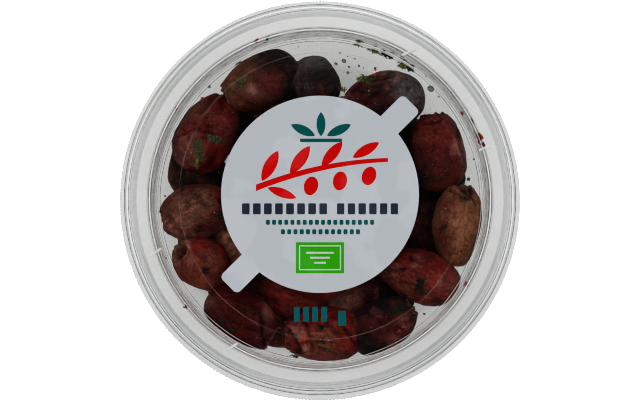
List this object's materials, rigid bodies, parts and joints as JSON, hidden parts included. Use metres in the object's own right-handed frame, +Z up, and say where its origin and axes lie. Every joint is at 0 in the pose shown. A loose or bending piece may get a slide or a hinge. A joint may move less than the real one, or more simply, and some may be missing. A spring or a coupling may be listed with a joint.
{
  "type": "shut tub of olives",
  "caption": "Round clear tub of pitted dark olives with herbs, shut by a clear press-on lid with a recessed panel and a round film label.",
  "frame": {"origin": "on the table, under the middle of the tub", "axes": "+Z up out of the lid; +Y towards the top edge of the label, +X to the right of it as it reads"},
  "size_m": [0.118, 0.118, 0.038],
  "materials": {
    "tub": "clear glossy thermoformed plastic",
    "lid": "clear glossy thermoformed plastic",
    "olives": "oily wrinkled olive skin, dark red-brown to black, with dried herbs",
    "label": "satin printed film"
  },
  "bodies": {
    "root": {"tub": "tub", "lid": "lid", "olives": "olives", "label": "label"}
  },
  "joints": []
}
